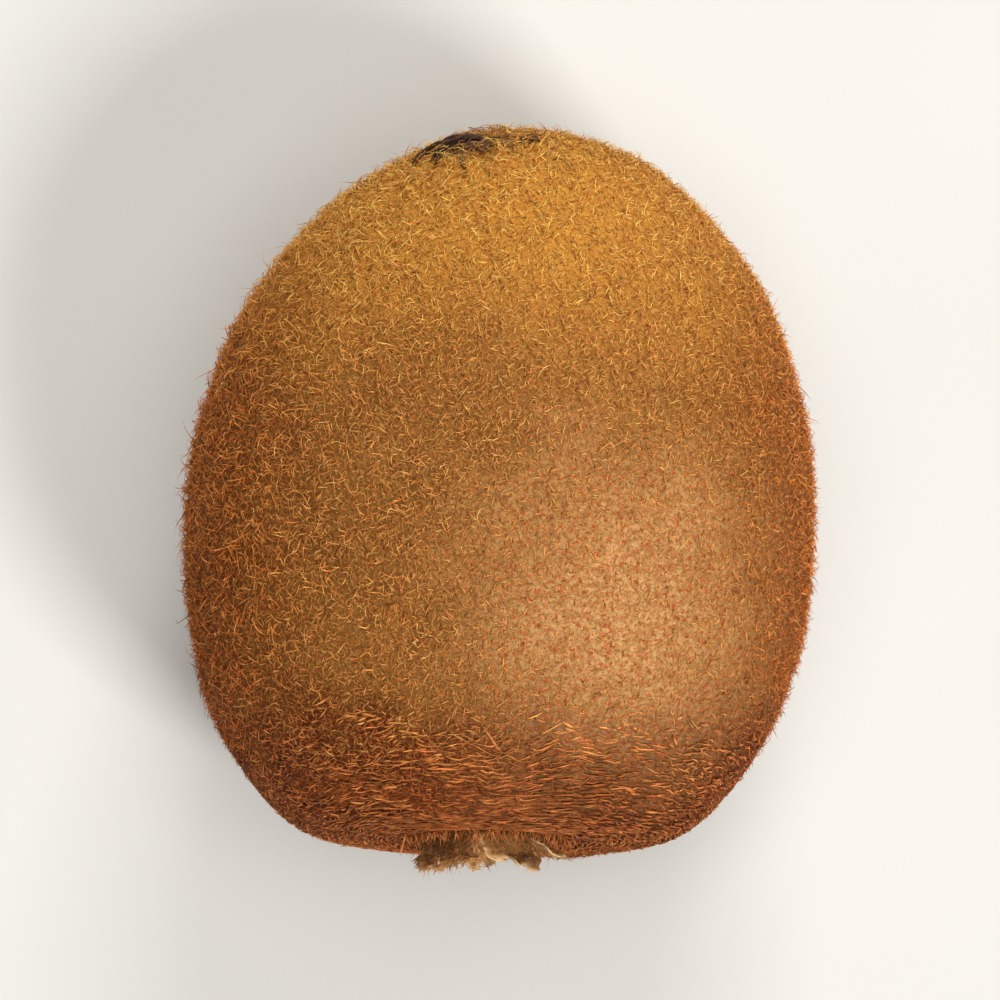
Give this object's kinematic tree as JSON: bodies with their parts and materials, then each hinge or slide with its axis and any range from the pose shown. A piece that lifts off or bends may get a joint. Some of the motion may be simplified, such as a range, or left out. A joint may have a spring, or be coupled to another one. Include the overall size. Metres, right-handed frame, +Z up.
{
  "type": "kiwi fruit",
  "caption": "Whole fuzzy brown kiwi fruit, slightly oval in section, with dried sepals at the stem end and dried styles at the blossom end, resting on its side.",
  "frame": {"origin": "middle of the underside of the bounding box, at the level of the surface that the fruit lies on", "axes": "+Z up, +Y from the stem end to the blossom end, +X to the right of the fruit seen from above with its blossom end away"},
  "size_m": [0.0524, 0.063, 0.0465],
  "materials": {
    "skin": "matte",
    "sepal": "matte",
    "style": "matte"
  },
  "bodies": {
    "root": {"fruit": "skin", "sepal_1": "sepal", "sepal_2": "sepal", "sepal_3": "sepal", "sepal_4": "sepal", "sepal_5": "sepal", "style_tuft": "style"}
  },
  "joints": []
}
